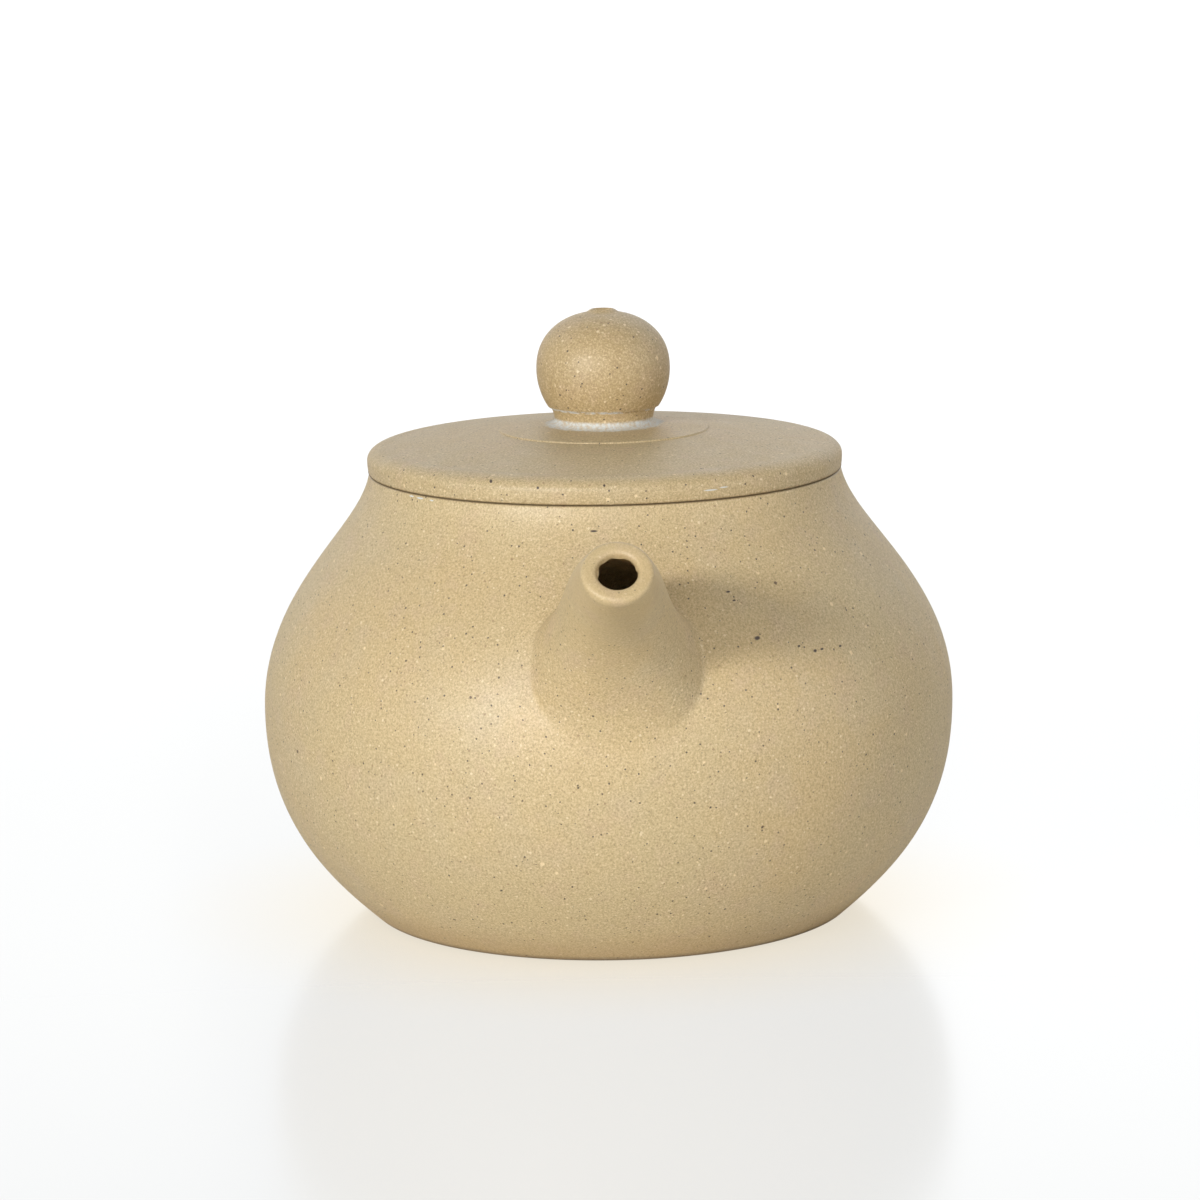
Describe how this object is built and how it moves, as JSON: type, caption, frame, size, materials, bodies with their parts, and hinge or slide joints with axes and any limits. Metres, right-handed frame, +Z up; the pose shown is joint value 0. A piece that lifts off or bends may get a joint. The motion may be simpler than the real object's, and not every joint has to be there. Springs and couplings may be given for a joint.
{
  "type": "yixing teapot",
  "caption": "Small round unglazed clay teapot with a flat lift-off lid, a ball knob, a short tapered spout and an ear-shaped handle.",
  "frame": {"origin": "on the pot's axis at the level of the surface that it stands on", "axes": "+Z up along the pot's axis and the lid's travel, +X from the axis towards the spout, -X towards the handle"},
  "size_m": [0.136, 0.09, 0.0787],
  "materials": {
    "clay": "matte unglazed sandy stoneware with fine cream and dark grains",
    "clay_smooth": "matte unglazed stoneware, wiped smooth",
    "clay_inner": "matte unglazed stoneware, tooled and not burnished"
  },
  "bodies": {
    "pot": {"base_disc": "clay", "body_wall": "clay", "mouth_ring": "clay", "spout": "clay_smooth", "strainer": "clay_inner", "handle": "clay_smooth"},
    "lid": {"lid_plate": "clay", "lid_flange": "clay_inner", "knob_pad": "clay", "knob": "clay"}
  },
  "joints": [
    {"name": "lid_lift", "type": "slide", "parent": "pot", "child": "lid", "axis": [0, 0, 1], "range_m": [0, 0.06]}
  ]
}
